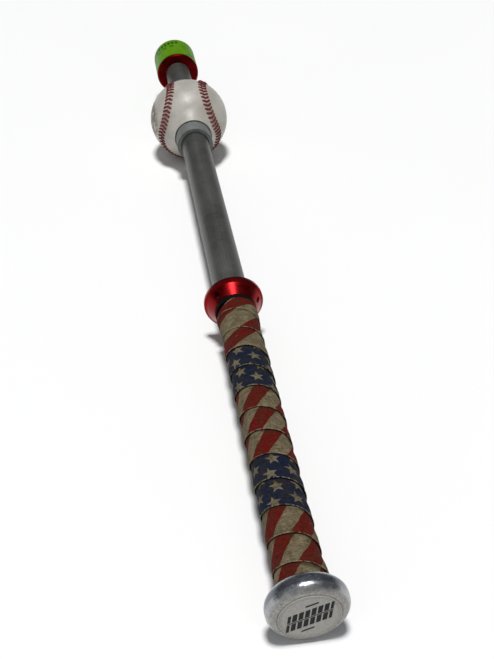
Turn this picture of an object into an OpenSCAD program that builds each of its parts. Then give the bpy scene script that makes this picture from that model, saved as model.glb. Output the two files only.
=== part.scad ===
// Swing trainer stick: a drilled baseball that slides and turns on an aluminium rod, between an
// anodised stop collar above the taped grip and an anodised cap at the tip.
// The rod lies along +Y. The origin is the centre of the knob's flat end, +Z is up and +X is right.

/* [Rod] */
// Outside diameter of the rod (1 in tube)
rod_d = 25.4; // [25:0.1:26]
// Wall thickness of the rod
rod_wall = 2.1; // [1.5:0.1:3]
// Overall length, from the knob's end to the cap's end
length = 737; // [730:1:760]

/* [Knob] */
// Diameter of the knob
knob_d = 46.6; // [44:0.2:50]
// Thickness of the knob's disc
knob_t = 14; // [13:0.5:16]
// Radius of the rounding on the knob's rim
knob_round = 6; // [4:0.5:6]
// Diameter of the round decal on the knob's face
decal_d = 34.8; // [30:0.2:34.8]
// How far the decal stands proud of the knob's face
decal_proud = 0.3; // [0.2:0.1:0.4]

/* [Grip] */
// Distance from the knob's end to the top of the tape
tape_top = 266; // [260:1:267]
// Radius over one layer of tape
tape_r = 14; // [13.8:0.1:14.3]
// How far an overlap stands up
tape_step = 0.8; // [0.5:0.1:1]
// Distance from one overlap to the next
tape_pitch = 20.8; // [20:0.2:22]

/* [Stop collar] */
// Position of the collar's small end
collar_y = 270; // [269:1:275]
// Radius of the small end
collar_small_r = 15.4; // [15.2:0.1:16]
// Radius of the rim
collar_rim_r = 22.1; // [21.5:0.1:23]

/* [Ball] */
// Position of the ball's centre
ball_y = 588; // [560:1:600]
// Diameter of the ball (baseball)
ball_d = 74.6; // [73:0.2:76]
// Angle that shapes the figure-of-eight seam
seam_tilt = 18; // [12:1:22]
// How far the ball is turned from the pose in which its hole runs through the lobes
seam_turn = [-36, -86, 121]; // [-180:1:180]

/* [Sleeve] */
// Outside diameter of the sleeve (1 in plastic pipe)
sleeve_d = 33.4; // [33.4:0.1:33.8]
// Inside diameter of the sleeve
sleeve_bore = 26.6; // [26:0.1:27]
// Length of the sleeve
sleeve_len = 112; // [100:1:116]

/* [Tip cap] */
// Diameter of the cap
cap_d = 43.2; // [42:0.2:44]
// Length of the cap
cap_len = 42; // [38:1:46]

/* [Hidden] */
$fn = 96;

// Rod
rod_r = rod_d / 2;
rod_in_r = rod_r - rod_wall;
rod_y0 = 8;
cap_wall = 6;
rod_y1 = length - cap_wall;

// Knob and what holds it
knob_r = knob_d / 2;
knob_band = knob_t - 2 * knob_round;
knob_y0 = decal_proud;
knob_y1 = knob_y0 + knob_t;
neck_r0 = 14.6;
neck_r1 = 13.2;
neck_end = 40;
decal_t = 0.6;
plug_len = 30;
screw_r = 3;
screw_len = 20;
screw_head_r = 6;
screw_head_h = 3.3;
screw_key_r = 2.3;
screw_key_depth = 2;

// Grip
tape_y0 = knob_y1;
tape_start_r = 15.3;
tape_end_r = 15.6;
first_edge_y = 45.2;
wraps = floor((tape_top - first_edge_y) / tape_pitch);
tape_edge = 0.35;
lap_share = 0.4;
fade_share = 0.7;
band_r = 15.2;

// Stop collar
collar_cone_r = 20.3;
collar_cone_len = 8.1;
collar_rim_y = collar_y + 9.7;
collar_end_y = collar_y + 13;
collar_edge = 0.7;
set_screw_r = 2.2;
set_screw_len = 3.2;
set_screw_key_r = 1.1;
set_screw_key_depth = 1.4;
collar_screw_y = collar_y + 4.6;
collar_screw_angles = [-46, 74, 194];

// Tip cap
cap_r = cap_d / 2;
cap_y0 = length - cap_len;
cap_edge = 1.2;
label_t = 0.15;
label_y0 = cap_y0 + 2.6;
label_y1 = length - cap_edge - 0.2;
label_gap = 40;
cap_screw_ys = [cap_y0 + 10, cap_y0 + 28];

// Ball, from the cover inwards
ball_r = ball_d / 2;
cover_t = 1.3;
cotton_in_r = ball_r - cover_t - 0.9;
wool_r = 27;
core_r = 17.5;
spin_gap = 0.05;
ball_bore_r = sleeve_d / 2 + spin_gap;
// The cuts cross half way through the cover: on its surface they would only touch at a point
seam_d = (ball_r - cover_t / 2) * cos(seam_tilt) / sqrt(2);
thread_t = 0.5;
thread_w = 4;
far = 3 * ball_r;

// Turns a shape that stands along +Z so that it lies along +Y
module along_y(y = 0) {
  translate([0, y, 0]) rotate([-90, 0, 0]) children();
}

module rod_length(r, y0, y1) {
  along_y(y0) cylinder(r = r, h = y1 - y0);
}

module cone_length(r0, r1, y0, y1) {
  along_y(y0) cylinder(r1 = r0, r2 = r1, h = y1 - y0);
}

// Places a radial shape at an angle from the top, positive to the right
module radial(angle, y) {
  translate([0, y, 0]) rotate([0, angle, 0]) children();
}

// ---- Rod, knob and grip ----

module shaft_tube() {
  color("darkgray") difference() {
    rod_length(rod_r, rod_y0, rod_y1);
    rod_length(rod_in_r, rod_y0 - 1, rod_y1 + 1);
  }
}

module shaft_plug() {
  color("silver") difference() {
    rod_length(rod_in_r, rod_y0, rod_y0 + plug_len);
    rod_length(screw_r, rod_y0 - 1, knob_y0 + decal_t + screw_len);
  }
}

module knob_profile() {
  square([knob_r - knob_round, knob_t]);
  translate([0, knob_round]) square([knob_r, knob_band]);
  for (y = [knob_round, knob_t - knob_round])
    translate([knob_r - knob_round, y]) circle(r = knob_round);
}

module knob() {
  color("silver") difference() {
    union() {
      along_y(knob_y0) rotate_extrude() intersection() {
        knob_profile();
        square([knob_r, knob_t]);
      }
      cone_length(neck_r0, neck_r1, knob_y1 - 1, neck_end);
    }
    rod_length(rod_r, rod_y0, neck_end + 1);
    rod_length(decal_d / 2, 0, decal_t);
    rod_length(screw_r, 0, rod_y0 + 1);
    cone_length(screw_head_r, screw_r, decal_t, decal_t + screw_head_h);
  }
}

module knob_screw() {
  color("dimgray") difference() {
    union() {
      cone_length(screw_head_r, screw_r, decal_t, decal_t + screw_head_h);
      rod_length(screw_r, decal_t + screw_head_h / 2, knob_y0 + decal_t + screw_len);
    }
    along_y(decal_t - 1) cylinder(r = screw_key_r, h = screw_key_depth + 1, $fn = 6);
  }
}

module knob_decal() {
  color("lightgray") rod_length(decal_d / 2, 0, decal_t);
}

// Outline of the wound tape: each wrap's lower edge lies on the wrap below and makes a step
function wrap_y(i) = first_edge_y + i * tape_pitch;
function wrap_points(i) = [
  [tape_r, wrap_y(i)],
  [tape_r + tape_step, wrap_y(i) + tape_edge],
  [tape_r + tape_step, wrap_y(i) + tape_pitch * lap_share],
  [tape_r, wrap_y(i) + tape_pitch * fade_share]
];

module tape_profile() {
  polygon(concat(
    [[0, tape_y0], [tape_start_r, tape_y0], [tape_start_r, first_edge_y - tape_pitch * lap_share]],
    [for (i = [0 : wraps - 1]) for (p = wrap_points(i)) p],
    [[tape_end_r, tape_top], [0, tape_top]]
  ));
}

module grip_tape() {
  color("firebrick") difference() {
    along_y() rotate_extrude() tape_profile();
    cone_length(neck_r0, neck_r1, knob_y1 - 1, neck_end);
    rod_length(rod_r, tape_y0 - 1, tape_top + 1);
  }
}

module grip_end_band() {
  color("black") difference() {
    rod_length(band_r, tape_top, collar_y);
    rod_length(rod_r, tape_top - 1, collar_y + 1);
  }
}

// ---- Stop collar ----

module set_screw(angle, y) {
  radial(angle, y) translate([0, 0, rod_r]) difference() {
    cylinder(r = set_screw_r, h = set_screw_len);
    translate([0, 0, set_screw_len - set_screw_key_depth])
      cylinder(r = set_screw_key_r, h = set_screw_key_depth + 1, $fn = 6);
  }
}

module set_screw_hole(angle, y) {
  radial(angle, y) cylinder(r = set_screw_r, h = 2 * collar_rim_r);
}

module stop_collar() {
  color("crimson") difference() {
    union() {
      cone_length(collar_small_r, collar_cone_r, collar_y, collar_y + collar_cone_len);
      cone_length(collar_cone_r, collar_rim_r, collar_y + collar_cone_len, collar_rim_y);
      rod_length(collar_rim_r, collar_rim_y, collar_end_y - collar_edge);
      cone_length(collar_rim_r, collar_rim_r - collar_edge, collar_end_y - collar_edge, collar_end_y);
    }
    rod_length(rod_r, collar_y - 1, collar_end_y + 1);
    for (a = collar_screw_angles) set_screw_hole(a, collar_screw_y);
  }
}

module collar_set_screws() {
  color("dimgray") for (a = collar_screw_angles) set_screw(a, collar_screw_y);
}

// ---- Tip cap ----

module tip_cap() {
  color("darkred") difference() {
    union() {
      cone_length(cap_r - cap_edge, cap_r, cap_y0, cap_y0 + cap_edge);
      rod_length(cap_r, cap_y0 + cap_edge, length - cap_edge);
      cone_length(cap_r, cap_r - cap_edge, length - cap_edge, length);
    }
    rod_length(rod_r, cap_y0 - 1, rod_y1);
    for (y = cap_screw_ys) set_screw_hole(180, y);
  }
}

module tip_set_screws() {
  color("dimgray") for (y = cap_screw_ys) set_screw(180, y);
}

// The label leaves the underside free, where the set screws are
module tip_label() {
  color("limegreen") along_y(label_y0)
    rotate_extrude(angle = 360 - label_gap, start = label_gap / 2 + 90)
      translate([cap_r, 0]) square([label_t, label_y1 - label_y0]);
}

// ---- Ball and sleeve ----

module ball_sleeve() {
  color("lightslategray") difference() {
    rod_length(sleeve_d / 2, ball_y - sleeve_len / 2, ball_y + sleeve_len / 2);
    rod_length(sleeve_bore / 2, ball_y - sleeve_len, ball_y + sleeve_len);
  }
}

// A ring-shaped layer of the ball between two radii, round the hole
module ball_layer(outer, inner) {
  along_y(ball_y) rotate_extrude() intersection() {
    difference() {
      circle(r = outer);
      circle(r = inner);
    }
    translate([ball_bore_r, -2 * ball_r]) square([2 * ball_r, 4 * ball_r]);
  }
}

// The seam is four circular arcs, each cut by one plane. In its own frame the front panel's two
// lobes lie on the -X side and its waist on the +X side; the back panel is the same shape swapped.
module seam_pose() {
  translate([0, ball_y, 0]) rotate(seam_turn) children();
}

module half_space(side) {
  translate([side > 0 ? 0 : -2 * far, -far, -far]) cube([2 * far, 2 * far, 2 * far]);
}

module lobe_slab(end, from, to) {
  mirror([0, 0, end]) rotate([0, -seam_tilt, 0])
    translate([-far, -far, from]) cube([2 * far, 2 * far, to - from]);
}

module lobe(end) {
  intersection() {
    half_space(-1);
    lobe_slab(end, seam_d, far);
  }
}

module swap_panels(swapped) {
  rotate(a = swapped ? 180 : 0, v = [0, 1, 1]) children();
}

module waist() {
  difference() {
    half_space(1);
    for (end = [0, 1]) swap_panels(true) lobe_slab(end, seam_d, far);
  }
}

module cover_panel(swapped) {
  for (end = [0, 1]) intersection() {
    ball_layer(ball_r, ball_r - cover_t);
    seam_pose() swap_panels(swapped) lobe(end);
  }
  intersection() {
    ball_layer(ball_r, ball_r - cover_t);
    seam_pose() swap_panels(swapped) waist();
  }
}

module ball_cover_front() {
  color("ivory") cover_panel(false);
}

module ball_cover_back() {
  color("antiquewhite") cover_panel(true);
}

// The stitches' own band, which stands on the cover along the seam
module ball_stitching() {
  color("red") for (swapped = [false, true]) for (end = [0, 1]) intersection() {
    ball_layer(ball_r + thread_t, ball_r);
    seam_pose() swap_panels(swapped) intersection() {
      half_space(-1);
      lobe_slab(end, seam_d - thread_w / 2, seam_d + thread_w / 2);
    }
  }
}

module cotton_winding() {
  color("whitesmoke") ball_layer(ball_r - cover_t, cotton_in_r);
}

module wool_winding_outer() {
  color("gainsboro") ball_layer(cotton_in_r, wool_r);
}

module wool_winding_inner() {
  color("gray") ball_layer(wool_r, core_r);
}

shaft_tube();
shaft_plug();
knob();
knob_screw();
knob_decal();
grip_tape();
grip_end_band();
stop_collar();
collar_set_screws();
tip_cap();
tip_label();
tip_set_screws();
ball_sleeve();
ball_cover_front();
ball_cover_back();
ball_stitching();
cotton_winding();
wool_winding_outer();
wool_winding_inner();
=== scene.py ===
"""Looks of the swing trainer stick: a drilled baseball on an aluminium rod with a cloth-taped grip.

Lengths are in metres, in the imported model's frame: the rod lies along +Y, +Z is up and +X is right.
"""
import math
import random

import bpy
from mathutils import Euler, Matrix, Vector, noise


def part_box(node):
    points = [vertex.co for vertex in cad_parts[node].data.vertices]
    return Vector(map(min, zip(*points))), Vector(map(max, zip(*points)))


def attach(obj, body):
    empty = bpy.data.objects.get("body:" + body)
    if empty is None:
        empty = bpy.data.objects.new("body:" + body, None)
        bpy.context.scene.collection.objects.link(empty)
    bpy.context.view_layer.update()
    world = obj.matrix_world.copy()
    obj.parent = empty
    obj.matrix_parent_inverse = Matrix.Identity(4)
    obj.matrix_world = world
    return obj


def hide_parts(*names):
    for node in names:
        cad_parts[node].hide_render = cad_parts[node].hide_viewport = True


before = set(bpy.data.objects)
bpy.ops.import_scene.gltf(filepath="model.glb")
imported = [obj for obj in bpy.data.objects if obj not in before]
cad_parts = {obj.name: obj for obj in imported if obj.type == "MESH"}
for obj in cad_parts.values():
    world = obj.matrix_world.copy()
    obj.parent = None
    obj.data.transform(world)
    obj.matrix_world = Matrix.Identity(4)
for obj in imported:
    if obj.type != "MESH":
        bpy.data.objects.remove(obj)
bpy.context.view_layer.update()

MM = 0.001
TAU = 2 * math.pi
COVER_AND_COTTON = 2.2 * MM
COVER_THICK = 1.3 * MM

# Camera and light
CAMERA_AT = Vector((-0.0814, -0.3088, 0.4402))
CAMERA_TO = Vector((0.1208, 0.7780, -0.6165))
CAMERA_LENS = 54.36
LAMP_FROM = Vector((-0.03, -0.02, 0.99))
LAMP_ANGLE = math.radians(11)
LAMP_STRENGTH = 2.75
FILL_AT = Vector((-0.5, -1.3, 0.9))
FILL_SIZE = 3.2
FILL_POWER = 7
SKY_STRENGTH = 0.13

# Floor: the knob touches it where its rim is widest, and the ball's stitches need a small gap
KNOB_WIDEST = 7 * MM
FLOOR_GAP = 0.3 * MM
FLOOR_HALF = 12.0

# Places taken from the frame
knob_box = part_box("knob")
tape_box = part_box("grip_tape")
label_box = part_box("tip_label")
decal_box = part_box("knob_decal")
rod_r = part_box("shaft_tube")[1].x
sleeve_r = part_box("ball_sleeve")[1].x
ball_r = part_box("wool_winding_outer")[1].x + COVER_AND_COTTON
ball_at = Vector((0, sum(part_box("ball_sleeve")[i].y for i in (0, 1)) / 2, 0))

# Wound tape
TAPE_PITCH = 20.8 * MM
TAPE_WIDTH = 29 * MM
TAPE_THICK = 0.4 * MM
TAPE_FIRST_EDGE = tape_box[1].y - 12.8 * MM
TAPE_R = 14.0 * MM
TAPE_STEP = 0.72 * MM
TAPE_TURN = TAU * 14.5 * MM

# Print on the tape: a flag repeats every few turns, and its last turns are the field of stars
FLAG_TURNS = 5
STRIPE_TURNS = 3
STRIPE_PITCH = 22.8
STRIPE_LEAN = 0.62
STRIPE_START = 20.11
FLAG_SHIFT = 0.42

# Ball
BALL_LONG = 1.022
LIP_START = 26 * MM
LIP_REACH = 40.6 * MM
HOLE_R = sleeve_r + 1.0 * MM
SEAM_TILT = math.radians(18)
SEAM_TURN = Euler([math.radians(a) for a in (-36, -86, 121)], "XYZ").to_matrix()
STITCHES_PER_ARC = 27
STITCH_REACH = 4.0 * MM
STITCH_LEAN = 2.0 * MM
THREAD_R = 0.95 * MM


# ---- Shader nodes ----

class Shader:
    """One material's nodes. Each call adds a node and returns its output socket."""

    def __init__(self, name):
        self.material = bpy.data.materials.new(name)
        self.material.use_nodes = True
        self.tree = self.material.node_tree
        self.surface = self.tree.nodes["Principled BSDF"]

    def add(self, kind, output=0, inputs=None, **settings):
        node = self.tree.nodes.new("ShaderNode" + kind)
        for key, value in settings.items():
            setattr(node, key, value)
        for key, value in (inputs or {}).items():
            self.put(node.inputs[key], value)
        return node.outputs[output]

    def put(self, socket, value):
        if isinstance(value, bpy.types.NodeSocket):
            self.tree.links.new(value, socket)
        elif isinstance(value, tuple) and len(value) == 3 and socket.type == "RGBA":
            socket.default_value = (*value, 1)
        else:
            socket.default_value = value

    def set(self, **values):
        for key, value in values.items():
            self.put(self.surface.inputs[key.replace("_", " ")], value)

    def math(self, operation, *values, clamp=False):
        return self.add("Math", inputs=dict(enumerate(values)), operation=operation, use_clamp=clamp)

    def place(self, stretch=(1, 1, 1)):
        """The object's own coordinates, in metres, stretched per axis"""
        where = self.add("TexCoord", "Object")
        return self.add("Mapping", inputs={"Vector": where, "Scale": stretch})

    def axes(self):
        where = self.add("TexCoord", "Object")
        parts = self.add("SeparateXYZ", inputs={0: where})
        return [parts.node.outputs[i] for i in range(3)]

    def noise(self, vector, scale, detail=3.0, roughness=0.55):
        inputs = {"Vector": vector, "Scale": scale, "Detail": detail, "Roughness": roughness}
        return self.add("TexNoise", "Fac", inputs)

    def spots(self, vector, scale):
        return self.add("TexVoronoi", "Distance", {"Vector": vector, "Scale": scale})

    def step(self, value, start, end, low=0.0, high=1.0):
        """Goes smoothly from low to high as value goes from start to end"""
        inputs = {"Value": value, "From Min": start, "From Max": end, "To Min": low, "To Max": high}
        return self.add("MapRange", 0, inputs, interpolation_type="SMOOTHSTEP")

    def band(self, value, middle, half, soft):
        """One near the middle value, and zero beyond it by more than half"""
        away = self.math("ABSOLUTE", self.math("SUBTRACT", value, middle))
        return self.step(away, half, half + soft, 1.0, 0.0)

    def mix(self, factor, a, b):
        node = self.tree.nodes.new("ShaderNodeMix")
        node.data_type = "RGBA"
        for socket, value in zip([node.inputs[i] for i in (0, 6, 7)], (factor, a, b)):
            self.put(socket, value)
        return node.outputs[2]

    def times(self, *values):
        total = values[0]
        for value in values[1:]:
            total = self.math("MULTIPLY", total, value)
        return total

    def sum(self, *values):
        total = values[0]
        for value in values[1:]:
            total = self.math("ADD", total, value)
        return total

    def bump(self, height, depth):
        inputs = {"Height": height, "Distance": depth}
        self.put(self.surface.inputs["Normal"], self.add("Bump", 0, inputs))


def around_rod(s):
    """Angle from the top, positive to the right, and distance from the rod's axis"""
    x, y, z = s.axes()
    angle = s.math("ARCTAN2", x, z)
    radius = s.math("SQRT", s.math("ADD", s.math("MULTIPLY", x, x), s.math("MULTIPLY", z, z)))
    return angle, radius, y


# ---- Materials ----

def drawn_tube():
    """Matt drawn aluminium with long faint streaks, handling marks and a few nicks"""
    s = Shader("drawn_aluminium")
    streaks = s.noise(s.place((900, 9, 900)), 1.0, 4.0)
    cloud = s.noise(s.place(), 38.0, 4.0, 0.65)
    rubs = s.noise(s.place((60, 260, 60)), 1.0, 5.0, 0.7)
    speckle = s.noise(s.place(), 620.0, 3.0, 0.6)
    tone = s.sum(s.times(streaks, 0.24), s.times(cloud, 0.36), s.times(rubs, 0.18), s.times(speckle, 0.22))
    colour = s.mix(s.step(tone, 0.36, 0.62), (0.098, 0.098, 0.089), (0.165, 0.166, 0.155))
    nicks = s.step(s.spots(s.place((1, 0.45, 1)), 95.0), 0.035, 0.06, 1.0, 0.0)
    s.set(Base_Color=s.mix(nicks, colour, (0.03, 0.03, 0.028)), Metallic=0.8)
    s.set(Roughness=s.step(tone, 0.3, 0.7, 0.40, 0.56))
    s.bump(s.sum(s.times(streaks, 0.5), s.times(nicks, -1.0)), 0.00008)
    return s.material


def cast_knob():
    """Polished and pitted aluminium on the rounded rim, with a painted dark blue-grey reflection band
    round its widest part; dull and dirty on the flat face
    """
    s = Shader("knob_aluminium")
    _, radius, y = around_rod(s)
    patches = s.noise(s.place(), 210.0, 4.0, 0.6)
    grain = s.noise(s.place(), 900.0, 3.0)
    pits = s.step(s.spots(s.place(), 480.0), 0.10, 0.24, 1.0, 0.0)
    pitted = s.times(pits, s.step(patches, 0.44, 0.60))
    face = s.step(y, knob_box[0].y + 0.9 * MM, knob_box[0].y + 2.6 * MM, 1.0, 0.0)
    # painted reflection: a dark blue-grey band round the rim's widest part, standing in for the darker
    # surroundings mirrored there
    low = s.band(y, knob_box[0].y + 7.6 * MM, 1.6 * MM, 1.6 * MM)
    shiny = s.mix(s.step(patches, 0.35, 0.7), (0.30, 0.31, 0.33), (0.42, 0.43, 0.43))
    shiny = s.mix(s.times(low, 0.8), shiny, (0.13, 0.15, 0.19))
    dull = s.mix(s.step(grain, 0.35, 0.65), (0.24, 0.235, 0.22), (0.36, 0.355, 0.34))
    dirt = s.times(face, s.band(radius, decal_box[1].x + 0.3 * MM, 0.15 * MM, 0.5 * MM), 0.55)
    colour = s.mix(dirt, s.mix(face, shiny, dull), (0.12, 0.08, 0.06))
    s.set(Base_Color=s.mix(s.times(pitted, 0.45), colour, (0.16, 0.15, 0.13)), Metallic=0.92)
    rough = s.sum(s.step(patches, 0.3, 0.7, 0.20, 0.32), s.times(face, 0.24), s.times(pitted, 0.15))
    s.set(Roughness=rough)
    s.bump(s.sum(s.times(patches, 0.4), s.times(grain, 0.25), s.times(pitted, -0.7)), 0.0003)
    return s.material


def turned_aluminium(name, dark, light, rough):
    """Anodised or bare aluminium with fine turning marks round the axis"""
    s = Shader(name)
    _, radius, y = around_rod(s)
    cut = s.math("SINE", s.math("MULTIPLY", s.sum(y, radius), 16000.0))
    wobble = s.noise(s.place((40, 1500, 40)), 1.0, 3.0)
    cloud = s.noise(s.place(), 130.0, 4.0, 0.6)
    scratches = s.step(s.noise(s.place((700, 90, 300)), 1.0, 5.0, 0.75), 0.62, 0.72)
    colour = s.mix(s.step(cloud, 0.3, 0.7), dark, light)
    s.set(Base_Color=s.mix(s.times(scratches, 0.35), colour, light), Metallic=0.95)
    polish = s.sum(s.times(wobble, 0.5), s.times(cloud, 0.5))
    s.set(Roughness=s.step(polish, 0.3, 0.7, rough, rough + 0.12))
    s.bump(s.sum(s.times(cut, 0.15), s.times(wobble, 0.4)), 0.00001)
    return s.material


def steel():
    """Black oxide steel for the screws"""
    s = Shader("black_steel")
    grain = s.noise(s.place(), 1600.0, 3.0)
    s.set(Base_Color=s.mix(grain, (0.035, 0.035, 0.04), (0.12, 0.12, 0.13)), Metallic=0.9)
    s.set(Roughness=s.step(grain, 0.3, 0.7, 0.32, 0.5))
    s.bump(grain, 0.00004)
    return s.material


def pipe_plastic():
    """Grey pipe with extrusion lines and faint smears"""
    s = Shader("grey_pipe")
    lines = s.noise(s.place((1400, 14, 1400)), 1.0, 3.0)
    smears = s.noise(s.place(), 120.0, 4.0, 0.6)
    colour = s.mix(s.step(smears, 0.32, 0.7), (0.125, 0.134, 0.130), (0.175, 0.186, 0.180))
    s.set(Base_Color=colour, Roughness=s.step(smears, 0.3, 0.7, 0.36, 0.52))
    s.bump(lines, 0.00004)
    return s.material


def band_rubber():
    """Dull black rubber"""
    s = Shader("black_band")
    grain = s.noise(s.place(), 1100.0, 3.0)
    s.set(Base_Color=s.mix(grain, (0.001, 0.001, 0.001), (0.005, 0.005, 0.005)))
    s.set(Roughness=s.step(grain, 0.3, 0.7, 0.6, 0.85))
    s.put(s.surface.inputs["Specular IOR Level"], 0.08)
    s.bump(grain, 0.00012)
    return s.material


def fract(s, value):
    """Where a value lies in its own repeat, from zero to one"""
    return s.math("FRACT", value)


def tape_star(s, along, across):
    """Five-pointed stars in staggered rows that run at a slant to the tape"""
    row_gap, star_gap, star_r = 10.6, 15.2, 5.1
    slant = math.radians(20)
    a = s.sum(s.times(along, math.cos(slant)), s.times(across, math.sin(slant)))
    b = s.sum(s.times(along, -math.sin(slant)), s.times(across, math.cos(slant)))
    b = s.math("DIVIDE", s.sum(b, 5.4), row_gap)
    shift = s.times(s.math("PINGPONG", s.math("FLOOR", b), 1.0), 0.5)
    a = s.sum(s.math("DIVIDE", s.sum(a, 3.1), star_gap), shift)
    x = s.times(s.math("SUBTRACT", fract(s, a), 0.5), star_gap)
    y = s.times(s.math("SUBTRACT", fract(s, b), 0.5), row_gap)
    reach = s.math("SQRT", s.sum(s.times(x, x), s.times(y, y)))
    fifth = TAU / 5
    turned = s.sum(s.math("ARCTAN2", y, x), TAU + 0.5)
    fold = s.math("SUBTRACT", s.math("MODULO", turned, fifth), fifth / 2)
    near = s.times(reach, s.math("COSINE", fold))
    side = s.times(reach, s.math("ABSOLUTE", s.math("SINE", fold)))
    return s.step(s.sum(near, s.times(side, 2.67)), star_r - 0.25, star_r + 0.25, 1.0, 0.0)


def steep_stripes(s, along, across, turns):
    """Red stripes that lean across the tape, shifted a little where the print starts again"""
    flag = s.math("FLOOR", s.math("DIVIDE", turns, float(FLAG_TURNS)))
    on_slant = s.sum(along, s.times(across, -STRIPE_LEAN))
    phase = s.sum(s.times(on_slant, 1 / STRIPE_PITCH), s.times(flag, FLAG_SHIFT), STRIPE_START)
    return s.band(fract(s, phase), 0.5, 0.25, 0.015)


def level_stripes(s, waver):
    """Two broad red stripes that run nearly round the grip by the collar"""
    angle, _, y = around_rod(s)
    side = s.math("SINE", angle)
    under = s.math("SUBTRACT", 1.0, s.math("COSINE", angle))
    y = s.times(s.math("SUBTRACT", tape_box[1].y, s.sum(y, s.times(waver, 0.0014))), 1 / MM)
    high = s.sum(y, s.times(side, 6.9), s.times(under, 1.9))
    low = s.sum(y, s.times(side, 11.9), s.times(under, 9.4))
    return s.sum(s.band(high, 5.6, 5.4, 0.4), s.band(low, 38.6, 7.2, 0.4))


def tape_cloth():
    """Worn woven tape, printed with stars and stripes, with patchy grime that is painted darker just under
    each wrap's overlapping edge as painted shade
    """
    s = Shader("printed_tape")
    uv = s.add("UVMap", 0, uv_map="print")
    parts = s.add("SeparateXYZ", inputs={0: uv}).node
    along = s.times(parts.outputs[0], 1 / MM)
    across = s.times(parts.outputs[1], 1 / MM)
    waver = s.noise(s.place(), 150.0, 2.0)
    along_print = s.sum(along, s.times(s.math("SUBTRACT", waver, 0.5), 2.4))
    across_print = s.sum(across, s.times(s.math("SUBTRACT", waver, 0.5), 1.6))
    turns = s.sum(s.times(along, MM / TAPE_TURN), 0.5 + FLAG_TURNS)
    in_flag = s.math("MODULO", turns, float(FLAG_TURNS))
    navy = s.math("GREATER_THAN", in_flag, float(STRIPE_TURNS))
    by_collar = s.math("LESS_THAN", turns, float(STRIPE_TURNS + FLAG_TURNS))
    cream, red, blue = (0.205, 0.165, 0.098), (0.125, 0.0055, 0.004), (0.0065, 0.0145, 0.038)
    print_wear = s.noise(s.place(), 420.0, 4.0, 0.7)
    elsewhere = s.math("SUBTRACT", 1.0, by_collar)
    steep = s.times(steep_stripes(s, along_print, across_print, turns), elsewhere)
    level = s.times(level_stripes(s, s.math("SUBTRACT", waver, 0.5)), by_collar)
    stripes = s.times(s.sum(steep, level), s.step(print_wear, 0.24, 0.36))
    stars = tape_star(s, along_print, across_print)
    colour = s.mix(stripes, cream, red)
    field = s.mix(stars, blue, (0.185, 0.155, 0.10))
    colour = s.mix(navy, colour, field)
    weave_a = s.math("SINE", s.times(along, TAU / 0.75))
    weave_b = s.math("SINE", s.times(across, TAU / 0.6))
    weave = s.times(weave_a, weave_b)
    fuzz = s.noise(s.place(), 1500.0, 3.0, 0.7)
    grime = s.noise(s.place(), 170.0, 5.0, 0.68)
    # painted shade: the strip of each wrap just under the next wrap's exposed edge takes the brown grime
    # colour more strongly, standing in for that edge's shadow
    edge_shade_strip = s.step(across, TAPE_PITCH / MM - 4.6, TAPE_PITCH / MM - 0.2)
    wipes = s.noise(s.place((120, 420, 120)), 1.0, 5.0, 0.7)
    soiled = s.step(s.sum(s.times(grime, 0.5), s.times(wipes, 0.5)), 0.38, 0.60)
    grime_and_edge_shade = s.times(soiled, s.sum(0.6, s.times(edge_shade_strip, 0.4)))
    colour = s.mix(s.times(grime_and_edge_shade, 0.82), colour, (0.034, 0.024, 0.011))
    fibres = s.noise(s.place((500, 1500, 500)), 1.0, 4.0, 0.75)
    threads = s.sum(s.times(fuzz, 0.4), s.times(fibres, 0.5), s.times(weave, 0.10))
    threads = s.step(threads, 0.32, 0.58, 0.32, 1.5)
    hsv = s.add("HueSaturation", 0, {"Color": colour, "Value": threads, "Fac": 1.0})
    frays = s.noise(s.place(), 700.0, 2.0)
    edge = s.times(s.band(across, 0.25, 0.22, 0.3), s.step(frays, 0.42, 0.56), 0.55)
    s.set(Base_Color=s.mix(edge, hsv, (0.33, 0.29, 0.20)))
    s.set(Roughness=s.step(grime, 0.3, 0.7, 0.95, 0.72))
    s.put(s.surface.inputs["Specular IOR Level"], 0.08)
    creases = s.noise(s.place((260, 520, 260)), 1.0, 4.0, 0.6)
    s.bump(s.sum(s.times(weave, 0.16), s.times(fuzz, 0.35), s.times(creases, 0.8)), 0.0004)
    return s.material


def ball_leather():
    """White leather with fine grain, handling dirt, scuffs and pink dye by the stitches"""
    s = Shader("ball_leather")
    seam = s.add("Attribute", "Fac", attribute_name="seam")
    grain = s.spots(s.place(), 1300.0)
    cloud = s.noise(s.place(), 60.0, 4.0, 0.6)
    dust = s.noise(s.place(), 330.0, 5.0, 0.72)
    colour = s.mix(s.step(cloud, 0.3, 0.7), (0.385, 0.365, 0.325), (0.48, 0.46, 0.415))
    soil = s.times(s.step(dust, 0.55, 0.72), s.step(cloud, 0.40, 0.62), 0.40)
    colour = s.mix(soil, colour, (0.22, 0.17, 0.11))
    x, y, z = s.axes()
    left = s.times(
        s.step(x, -30 * MM, -34.5 * MM),
        s.band(z, 6 * MM, 10 * MM, 8 * MM),
        s.band(y, ball_at.y, 16 * MM, 8 * MM),
    )
    marks = s.step(s.noise(s.place((1, 1.6, 1)), 190.0, 4.0, 0.7), 0.40, 0.52)
    colour = s.mix(s.times(left, marks, 0.9), colour, (0.075, 0.045, 0.016))
    dye = s.times(s.band(seam, 2.4, 1.6, 1.2), s.step(dust, 0.3, 0.6), 0.42)
    colour = s.mix(dye, colour, (0.46, 0.20, 0.17))
    s.set(Base_Color=s.mix(s.band(seam, 0.0, 0.1, 0.3), colour, (0.33, 0.25, 0.22)))
    s.set(Roughness=s.step(dust, 0.3, 0.7, 0.35, 0.46))
    s.put(s.surface.inputs["Specular IOR Level"], 0.45)
    s.bump(s.sum(s.times(grain, 0.25), s.times(dust, 0.35)), 0.0002)
    return s.material


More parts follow.
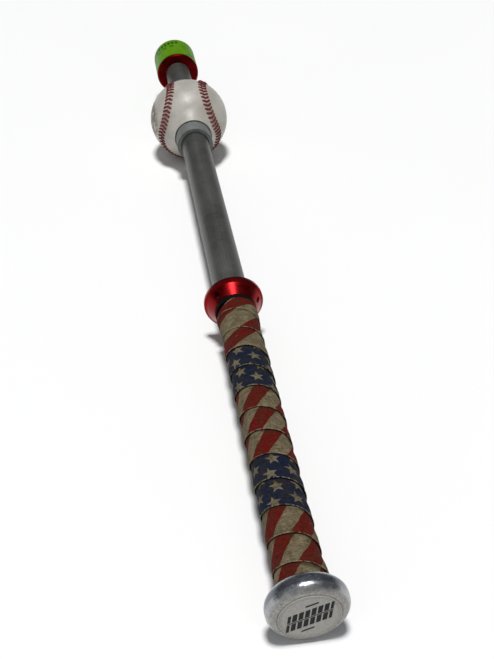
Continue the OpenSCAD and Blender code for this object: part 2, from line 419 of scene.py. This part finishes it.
def stitch_thread():
    """Waxed red cotton with a visible twist"""
    s = Shader("red_thread")
    twist = s.noise(s.place((2600, 2600, 2600)), 1.0, 2.0)
    wear = s.noise(s.place(), 260.0, 4.0, 0.6)
    colour = s.mix(s.step(wear, 0.32, 0.72), (0.075, 0.003, 0.003), (0.15, 0.009, 0.007))
    s.set(Base_Color=s.mix(s.times(twist, 0.35), colour, (0.2, 0.03, 0.022)))
    s.set(Roughness=s.step(wear, 0.3, 0.7, 0.5, 0.75))
    s.bump(twist, 0.00018)
    return s.material


def wound_yarn(name, dark, light, pitch):
    """Yarn wound round and round, as under the ball's cover"""
    s = Shader(name)
    inputs = {"Vector": s.place((1, 0.6, 0.3)), "Scale": 1 / pitch, "Distortion": 3.0}
    lay = s.add("TexWave", "Fac", inputs)
    fuzz = s.noise(s.place(), 1300.0, 4.0, 0.7)
    s.set(Base_Color=s.mix(s.sum(s.times(lay, 0.6), s.times(fuzz, 0.4)), dark, light))
    s.set(Roughness=s.step(fuzz, 0.3, 0.7, 0.8, 1.0))
    s.bump(s.sum(lay, s.times(fuzz, 0.3)), 0.0004)
    return s.material


def decal_print():
    """Grey plastic disc: two thin brown rings and a plain emblem of slanted bars"""
    s = Shader("decal_print")
    x, _, z = s.axes()
    x = s.times(x, 1 / MM)
    z = s.times(z, 1 / MM)
    radius = s.math("SQRT", s.sum(s.times(x, x), s.times(z, z)))
    grain = s.noise(s.place(), 520.0, 4.0, 0.65)
    blots = s.noise(s.place(), 160.0, 4.0, 0.6)
    colour = s.mix(s.step(grain, 0.3, 0.7), (0.34, 0.33, 0.305), (0.44, 0.43, 0.40))
    colour = s.mix(s.times(s.step(blots, 0.58, 0.75), 0.35), colour, (0.16, 0.13, 0.10))
    rings = s.sum(s.band(radius, 16.5, 0.08, 0.16), s.band(radius, 15.6, 0.05, 0.14))
    colour = s.mix(s.times(rings, 0.55), colour, (0.085, 0.045, 0.03))
    tilt = math.radians(20)
    a = s.sum(s.times(x, math.cos(tilt)), s.times(z, math.sin(tilt)))
    b = s.sum(s.times(x, -math.sin(tilt)), s.times(z, math.cos(tilt)))
    slant = s.sum(a, s.times(b, -0.45))
    bars = s.band(fract(s, s.sum(s.times(slant, 1 / 3.6), 10.0)), 0.5, 0.36, 0.05)
    rows = s.band(s.math("ABSOLUTE", b), 3.5, 2.7, 0.2)
    middle = s.band(b, 0.0, 0.35, 0.12)
    ink = s.times(s.math("MAXIMUM", s.times(bars, rows), middle), s.band(slant, 0.0, 12.9, 0.3))
    ticks = s.band(s.math("ABSOLUTE", s.math("SUBTRACT", s.math("ABSOLUTE", b), 9.4)), 0.0, 0.55, 0.2)
    ink = s.math("MAXIMUM", ink, s.times(ticks, s.band(slant, 0.0, 3.6, 0.3)), clamp=True)
    worn = s.step(grain, 0.22, 0.34)
    s.set(Base_Color=s.mix(s.times(ink, worn), colour, (0.004, 0.005, 0.005)))
    s.set(Roughness=s.step(grain, 0.3, 0.7, 0.42, 0.6))
    s.put(s.surface.inputs["Specular IOR Level"], 0.15)
    s.bump(grain, 0.00008)
    return s.material


def label_print():
    """Bright green label with a row of plain dark bars, thin rules and two blocks"""
    s = Shader("label_print")
    angle, _, y = around_rod(s)
    mm_y = s.times(s.math("SUBTRACT", y, label_box[0].y), 1 / MM)
    turn = s.times(angle, 180 / math.pi)
    mottle = s.noise(s.place(), 190.0, 4.0, 0.6)
    colour = s.mix(s.step(mottle, 0.3, 0.7), (0.078, 0.22, 0.0006), (0.108, 0.285, 0.0012))
    bars = s.times(
        s.band(mm_y, 30.5, 2.6, 0.5),
        s.band(fract(s, s.sum(s.times(turn, 1 / 11.0), 20.0)), 0.5, 0.30, 0.08),
        s.band(turn, -38.0, 46.0, 2.0),
    )
    marks = s.times(
        s.band(mm_y, 22.5, 1.1, 0.5),
        s.band(fract(s, s.sum(s.times(turn, 1 / 21.0), 20.0)), 0.5, 0.24, 0.1),
        s.band(turn, -30.0, 34.0, 2.0),
    )
    rules = s.times(
        s.band(fract(s, s.times(mm_y, 1 / 5.6)), 0.5, 0.11, 0.08),
        s.band(mm_y, 22.0, 8.5, 0.4),
        s.band(turn, 48.0, 26.0, 1.5),
        0.5,
    )
    blocks = s.times(
        s.band(mm_y, 6.5, 1.7, 0.6),
        s.band(fract(s, s.times(s.math("SUBTRACT", turn, 28.0), 1 / 34.0)), 0.5, 0.26, 0.08),
        s.band(turn, 60.0, 30.0, 1.5),
    )
    ink = s.math("MAXIMUM", s.math("MAXIMUM", bars, marks), s.math("MAXIMUM", rules, blocks))
    faded = s.times(ink, s.step(mottle, 0.2, 0.5, 0.55, 0.95))
    colour = s.mix(faded, colour, (0.008, 0.055, 0.004))
    rim = s.step(s.math("ABSOLUTE", s.math("SUBTRACT", mm_y, 19.0)), 18.3, 19.0)
    s.set(Base_Color=s.mix(s.times(rim, 0.6), colour, (0.06, 0.07, 0.015)))
    s.set(Roughness=s.step(mottle, 0.3, 0.7, 0.34, 0.5))
    s.put(s.surface.inputs["Specular IOR Level"], 0.12)
    s.bump(mottle, 0.00012)
    return s.material


def floor_paper():
    """Pale matt backdrop"""
    s = Shader("pale_floor")
    cloud = s.noise(s.place(), 3.0, 2.0)
    s.set(Base_Color=s.mix(cloud, (0.93, 0.93, 0.925), (0.96, 0.96, 0.955)), Roughness=0.9)
    s.put(s.surface.inputs["Specular IOR Level"], 0.1)
    return s.material


# ---- Meshes ----

def new_piece(name, verts, faces, material, body, replaced):
    """A smooth-shaded object that rides on a body and stands in for the CAD nodes it names"""
    mesh = bpy.data.meshes.new(name)
    mesh.from_pydata([tuple(v) for v in verts], [], faces)
    mesh.validate()
    for polygon in mesh.polygons:
        polygon.use_smooth = True
    mesh.materials.append(material)
    piece = bpy.data.objects.new(name, mesh)
    bpy.context.scene.collection.objects.link(piece)
    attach(piece, body)
    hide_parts(*replaced)
    return piece


def smooth_step(x):
    x = min(max(x, 0.0), 1.0)
    return x * x * (3 - 2 * x)


def tape_edge_y(turn):
    """Height up the rod of the tape's exposed lower edge, after a number of turns"""
    waver = 0.7 * MM * noise.noise(Vector((turn * 3.1, 0.3, 0.7)))
    return TAPE_FIRST_EDGE - TAPE_PITCH * turn + waver


def tape_top(angle):
    """The upper end of the tape is cut on a slant, lowest at the left"""
    return tape_box[1].y - 0.2 * MM - 5.2 * MM * smooth_step((-math.sin(angle) - 0.15) / 0.8)


def tape_radius(turn, across, y):
    """Distance of the tape's outside from the axis: high on the wrap below, lower past the overlap"""
    lap = TAPE_WIDTH - TAPE_PITCH
    angle = turn * TAU
    start = 1.25 * MM * smooth_step(1 - (y - tape_box[0].y) / (26 * MM))
    end = 1.35 * MM * smooth_step(1 - (tape_box[1].y - y) / (30 * MM))
    high = 1 - smooth_step((across - lap * 0.8) / (lap * 0.9))
    high *= 0.25 + 0.75 * smooth_step((tape_box[1].y - 24 * MM - y) / (26 * MM))
    under = smooth_step((across - TAPE_PITCH + 0.6 * MM) / (0.9 * MM))
    spot = Vector((math.sin(angle) * 2.2, y * 160, math.cos(angle) * 2.2))
    wrinkle = 0.16 * MM * noise.noise(spot) + 0.07 * MM * noise.noise(spot * 3.1)
    lift = 0.22 * MM * smooth_step(1 - across / (1.6 * MM)) * (0.6 + noise.noise(spot * 1.7))
    flat_side = 0.16 * MM * math.sin(angle)
    return TAPE_R + start + end + TAPE_STEP * high - 0.42 * MM * under + wrinkle + lift + flat_side


def tape_shares(count):
    """Shares of the width at which a row has its points, closer together at the edges"""
    return [0.5 - 0.5 * math.cos(math.pi * i / count) for i in range(count + 1)]


def make_tape():
    """One ribbon, wound down from the collar so that each wrap lies on the one below it"""
    steps_per_turn, outer_count, inner_count = 96, 20, 4
    low_y = tape_box[0].y + 0.1 * MM
    verts, faces, coords = [], [], []
    rows = []
    first = int(-0.9 * steps_per_turn)
    for i in range(first, 14 * steps_per_turn):
        turn = i / steps_per_turn
        edge = tape_edge_y(turn)
        a = max(0.0, low_y - edge)
        b = min(TAPE_WIDTH, tape_top(turn * TAU) - edge)
        if b - a < 1.2 * MM:
            continue
        row = []
        inside = [1 - share for share in tape_shares(inner_count)]
        for depth, shares in ((0.0, tape_shares(outer_count)), (TAPE_THICK, inside)):
            for share in shares:
                across = a + (b - a) * share
                y = edge + across
                r = tape_radius(turn, across, y) - depth
                r = max(r, rod_r + 0.15 * MM)
                row.append(len(verts))
                verts.append((r * math.sin(turn * TAU), y, r * math.cos(turn * TAU)))
                coords.append((turn * TAPE_TURN, across))
        rows.append(row)
    size = len(rows[0])
    for row, following in zip(rows, rows[1:]):
        for k in range(size):
            m = (k + 1) % size
            faces.append((row[k], row[m], following[m], following[k]))
    faces.append(tuple(reversed(rows[0])))
    faces.append(tuple(rows[-1]))
    piece = new_piece("wound_tape", verts, faces, tape_cloth(), "stick", ["grip_tape"])
    layer = piece.data.uv_layers.new(name="print")
    for loop in piece.data.loops:
        layer.data[loop.index].uv = coords[loop.vertex_index]


def ball_profile(polar):
    """Distance from the rod's axis and place along it, at an angle from +Y"""
    out = ball_r * math.sin(polar)
    along = ball_r * BALL_LONG * math.cos(polar)
    if out < LIP_START:
        edge_along = ball_r * BALL_LONG * math.sqrt(1 - (HOLE_R / ball_r) ** 2)
        rise = LIP_REACH - edge_along
        share = (LIP_START - out) / (LIP_START - HOLE_R)
        along += math.copysign(rise * share ** 2.1, along)
    return out, along


def on_ball(direction, lift=0.0):
    """The point of the ball's surface in a direction from its centre"""
    d = direction.normalized()
    polar = math.acos(max(-1.0, min(1.0, d.y)))
    out, along = ball_profile(polar)
    flat = Vector((d.x, 0, d.z)).normalized()
    return ball_at + flat * out + Vector((0, along, 0)) + d * lift


def seam_side(direction):
    """How far a direction lies on the front panel's side of the seam, in metres, and the plane"""
    p = SEAM_TURN.transposed() @ direction.normalized()
    sine, cosine = math.sin(SEAM_TILT), math.cos(SEAM_TILT)
    limit = cosine / math.sqrt(2)
    if p.x < 0:
        plane = Vector((-sine, 0, math.copysign(cosine, p.z)))
        sign = 1
    else:
        plane = Vector((sine, math.copysign(cosine, p.y), 0))
        sign = -1
    distance = math.acos(limit) - math.acos(max(-1.0, min(1.0, plane.dot(p))))
    return sign * distance * ball_r, SEAM_TURN @ plane, sign


def to_seam(direction):
    """The direction moved onto the seam, along the surface"""
    d = direction.normalized()
    for _ in range(3):
        distance, plane, sign = seam_side(d)
        across = (plane - d * plane.dot(d)).normalized()
        d = (d - across * (sign * distance / ball_r)).normalized()
    return d


def seam_relief(distance):
    """The cover dips at the seam, and puffs up beside it between the rows of holes"""
    away = abs(distance) / MM
    return (-0.12 * math.exp(-(away / 0.6) ** 2) + 0.30 * math.exp(-((away - 2.0) / 1.2) ** 2)) * MM


def make_covers():
    """Two leather panels, split along the seam, each with its edge turned in"""
    around, down = 288, 132
    first = math.asin(HOLE_R / ball_r)
    polars = [first + (math.pi - 2 * first) * i / down for i in range(down + 1)]
    directions = []
    for polar in polars:
        for j in range(around):
            turn = TAU * j / around
            side = math.sin(polar)
            directions.append(Vector((side * math.sin(turn), math.cos(polar), side * math.cos(turn))))
    sides = [seam_side(d)[0] for d in directions]
    quads = []
    for i in range(down):
        for j in range(around):
            k = (j + 1) % around
            quads.append((i * around + j, i * around + k, (i + 1) * around + k, (i + 1) * around + j))
    panels = {True: [], False: []}
    for quad in quads:
        panels[sum(sides[v] for v in quad) > 0].append(quad)
    shared = set(v for q in panels[True] for v in q) & set(v for q in panels[False] for v in q)
    for v in shared:
        directions[v] = to_seam(directions[v])
        sides[v] = 0.0
    leather = ball_leather()
    for front, name in ((True, "front_leather"), (False, "back_leather")):
        node = "ball_cover_front" if front else "ball_cover_back"
        make_panel(name, node, panels[front], directions, sides, leather)


def make_panel(name, node, quads, directions, sides, leather):
    index, verts, seams, faces = {}, [], [], []
    for quad in quads:
        for v in quad:
            if v not in index:
                index[v] = len(verts)
                verts.append(on_ball(directions[v], seam_relief(sides[v])))
                seams.append(abs(sides[v]) / MM)
        faces.append(tuple(index[v] for v in quad))
    counts = {}
    for face in faces:
        for a, b in zip(face, face[1:] + face[:1]):
            counts[(a, b)] = counts.get((a, b), 0) + 1
    rim = [(a, b) for (a, b) in counts if (b, a) not in counts]
    source = {index[v]: v for v in index}
    turned_in = {}
    for a, b in rim:
        for v in (a, b):
            if v not in turned_in:
                turned_in[v] = len(verts)
                inward = -directions[source[v]] * COVER_THICK
                verts.append(verts[v] + inward)
                seams.append(seams[v])
        faces.append((b, a, turned_in[a], turned_in[b]))
    piece = new_piece(name, verts, faces, leather, "ball", [node])
    layer = piece.data.attributes.new("seam", "FLOAT", "POINT")
    for i, value in enumerate(seams):
        layer.data[i].value = value


def seam_arcs():
    """Direction, tangent and across-seam vectors of every stitch, going once round the seam"""
    sine, cosine = math.sin(SEAM_TILT), math.cos(SEAM_TILT)
    limit = cosine / math.sqrt(2)
    spread = math.sqrt(1 - limit * limit)
    reach = math.pi / 2 + math.asin(sine * limit / (cosine * spread))
    for back in (False, True):
        for end in (1, -1):
            heading = end * (-1 if back else 1)
            for i in range(STITCHES_PER_ARC):
                t = reach * (2 * (i + 0.5) / STITCHES_PER_ARC - 1)
                plane = Vector((-sine, 0, cosine))
                toward = Vector((-cosine, 0, -sine))
                p = plane * limit + (toward * math.cos(t) + Vector((0, 1, 0)) * math.sin(t)) * spread
                q = (Vector((0, 1, 0)) * math.cos(t) - toward * math.sin(t)) * heading
                found = []
                for v in (p, q, plane):
                    v = Vector((v.x, v.y, v.z * end))
                    found.append(SEAM_TURN @ (Vector((-v.x, v.z, v.y)) if back else v))
                d, tangent, plane = found
                yield d.normalized(), tangent.normalized(), (plane - d * plane.dot(d)).normalized()


def add_thread(verts, faces, path, radius):
    """A closed tube along a path of points, flattened a little against the ball"""
    sides = 8
    rings = []
    for i, point in enumerate(path):
        ahead = path[min(i + 1, len(path) - 1)] - path[max(i - 1, 0)]
        up = (point - ball_at).normalized()
        side = ahead.cross(up).normalized()
        up = side.cross(ahead).normalized()
        ring = []
        taper = 0.72 if i in (0, len(path) - 1) else 1.0
        for j in range(sides):
            a = TAU * j / sides
            ring.append(len(verts))
            verts.append(point + (side * math.cos(a) + up * math.sin(a) * 0.8) * radius * taper)
        rings.append(ring)
    for ring, following in zip(rings, rings[1:]):
        for j in range(sides):
            k = (j + 1) % sides
            faces.append((ring[j], ring[k], following[k], following[j]))
    faces.append(tuple(reversed(rings[0])))
    faces.append(tuple(rings[-1]))


def make_stitches():
    """Slanted threads on both sides of the seam, which meet in a row of chevrons"""
    chance = random.Random(7)
    verts, faces = [], []
    points = 8
    for d, tangent, across in seam_arcs():
        for side in (1, -1):
            path = []
            lean = STITCH_LEAN * chance.uniform(0.88, 1.12)
            reach = STITCH_REACH * chance.uniform(0.95, 1.05)
            for k in range(points):
                share = k / (points - 1)
                out = side * (0.15 * MM + reach * share)
                ahead = lean * (1 - share) - lean / 2
                where = d + across * (out / ball_r) + tangent * (ahead / ball_r)
                arch = math.sin(math.pi * (0.12 + 0.88 * share))
                sink = 0.45 * smooth_step((share - 0.8) / 0.2)
                lift = (-0.15 + 0.72 * arch - sink) * MM
                path.append(on_ball(where, lift))
            add_thread(verts, faces, path, THREAD_R)
    new_piece("seam_stitches", verts, faces, stitch_thread(), "ball", ["ball_stitching"])


def make_lathe(name, outline, material, body, replaced):
    """A turned piece: the outline's points are distance from the axis and place along it"""
    around = 128
    verts, faces = [], []
    for r, y in outline:
        for j in range(around):
            a = TAU * j / around
            verts.append((r * math.sin(a), y, r * math.cos(a)))
    for i in range(len(outline) - 1):
        for j in range(around):
            k = (j + 1) % around
            faces.append((i * around + j, i * around + k, (i + 1) * around + k, (i + 1) * around + j))
    for ring, start in ((0, True), (len(outline) - 1, False)):
        loop = [ring * around + j for j in range(around)]
        faces.append(tuple(reversed(loop)) if start else tuple(loop))
    new_piece(name, verts, faces, material, body, replaced)


def make_decal():
    """A thin disc with a softened edge"""
    face, back, r = decal_box[0].y, decal_box[1].y, decal_box[1].x
    edge = 0.22 * MM
    rings = [(r * share, face) for share in (0.02, 0.3, 0.6, 0.85)]
    rings.append((r - edge, face))
    for i in range(1, 5):
        a = math.pi / 2 * i / 4
        rings.append((r - edge + edge * math.sin(a), face + edge - edge * math.cos(a)))
    rings += [(r, back), (r * 0.02, back)]
    make_lathe("face_decal", rings, decal_print(), "stick", ["knob_decal"])


# ---- Stage ----

def add_camera():
    data = bpy.data.cameras.new("camera")
    data.lens = CAMERA_LENS
    camera = bpy.data.objects.new("camera", data)
    camera.location = CAMERA_AT
    camera.rotation_euler = CAMERA_TO.to_track_quat("-Z", "Y").to_euler()
    bpy.context.scene.collection.objects.link(camera)
    bpy.context.scene.camera = camera


def add_lights():
    """A soft light high over the ball, and a weak panel in front for the knob's face"""
    key = bpy.data.lights.new("key", "SUN")
    key.angle = LAMP_ANGLE
    key.energy = LAMP_STRENGTH
    fill = bpy.data.lights.new("fill", "AREA")
    fill.shape = "DISK"
    fill.size = FILL_SIZE
    fill.energy = FILL_POWER
    for data, at, toward in ((key, LAMP_FROM, -LAMP_FROM), (fill, FILL_AT, -FILL_AT)):
        lamp = bpy.data.objects.new(data.name, data)
        lamp.location = at
        lamp.rotation_euler = toward.to_track_quat("-Z", "Y").to_euler()
        bpy.context.scene.collection.objects.link(lamp)


def add_sky():
    world = bpy.data.worlds.new("sky")
    world.use_nodes = True
    background = world.node_tree.nodes["Background"]
    background.inputs["Color"].default_value = (0.93, 0.96, 1.0, 1)
    background.inputs["Strength"].default_value = SKY_STRENGTH
    bpy.context.scene.world = world


def add_floor():
    """The stick lies on its knob and its ball, so the floor slopes a little in the stick's frame"""
    knob_low = (knob_box[0].y + KNOB_WIDEST, knob_box[0].z)
    ball_low = (ball_at.y, -ball_r - FLOOR_GAP)
    slope = (ball_low[1] - knob_low[1]) / (ball_low[0] - knob_low[0])
    verts = []
    for x in (-FLOOR_HALF, FLOOR_HALF):
        for y in (-FLOOR_HALF, FLOOR_HALF):
            verts.append((x, y, knob_low[1] + slope * (y - knob_low[0])))
    mesh = bpy.data.meshes.new("floor")
    mesh.from_pydata(verts, [], [(0, 2, 3, 1)])
    mesh.materials.append(floor_paper())
    floor = bpy.data.objects.new("floor", mesh)
    bpy.context.scene.collection.objects.link(floor)


def finish_cad_nodes():
    """Gives every CAD node that stays in view its own procedural material"""
    red = turned_aluminium("red_anodised", (0.17, 0.0022, 0.003), (0.24, 0.006, 0.007), 0.22)
    dark_red = turned_aluminium("dark_red_anodised", (0.10, 0.0006, 0.0007), (0.15, 0.002, 0.002), 0.3)
    screws = steel()
    finishes = {
        "shaft_tube": drawn_tube(),
        "shaft_plug": turned_aluminium("turned_aluminium", (0.42, 0.42, 0.41), (0.6, 0.6, 0.59), 0.3),
        "knob": cast_knob(),
        "knob_screw": screws,
        "grip_end_band": band_rubber(),
        "stop_collar": red,
        "collar_set_screws": screws,
        "tip_cap": dark_red,
        "tip_label": label_print(),
        "tip_set_screws": screws,
        "ball_sleeve": pipe_plastic(),
        "cotton_winding": wound_yarn("cotton_yarn", (0.45, 0.43, 0.38), (0.68, 0.66, 0.6), 0.006),
        "wool_winding_outer": wound_yarn("pale_wool", (0.34, 0.33, 0.31), (0.52, 0.51, 0.48), 0.01),
        "wool_winding_inner": wound_yarn("grey_wool", (0.13, 0.13, 0.14), (0.26, 0.26, 0.27), 0.01),
    }
    for name, material in finishes.items():
        for material_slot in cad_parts[name].material_slots:
            material_slot.material = material


add_camera()
add_sky()
add_lights()
add_floor()
finish_cad_nodes()
make_tape()
make_covers()
make_stitches()
make_decal()
bpy.context.scene.view_settings.view_transform = "Standard"
